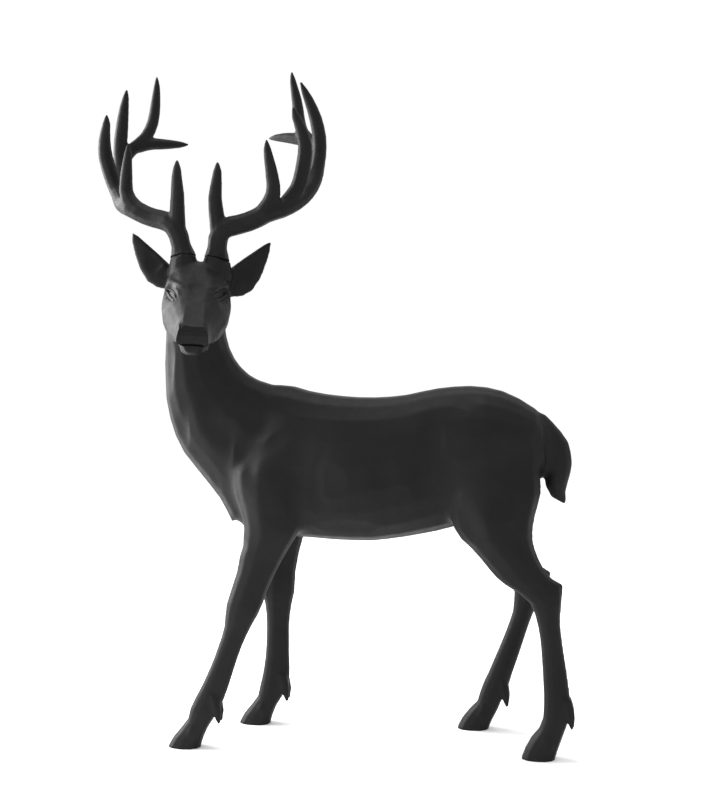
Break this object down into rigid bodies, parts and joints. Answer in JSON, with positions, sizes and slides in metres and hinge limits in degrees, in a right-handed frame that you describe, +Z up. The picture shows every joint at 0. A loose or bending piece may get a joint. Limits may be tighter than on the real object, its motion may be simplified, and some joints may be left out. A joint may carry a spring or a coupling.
{
  "type": "stag statue",
  "caption": "Standing stag statue in black cast iron with its head turned to the side and two separate branching antlers.",
  "frame": {"origin": "on the floor, under the middle of the whole stag's bounding box", "axes": "+Z up, the stag's body faces -X, its left side is -Y, and its head is turned to look along -Y"},
  "size_m": [0.8862, 0.3654, 1.2425],
  "materials": {
    "black_iron": "matte"
  },
  "bodies": {
    "root": {"stag_body": "black_iron", "antler_left": "black_iron", "antler_right": "black_iron"}
  },
  "joints": []
}
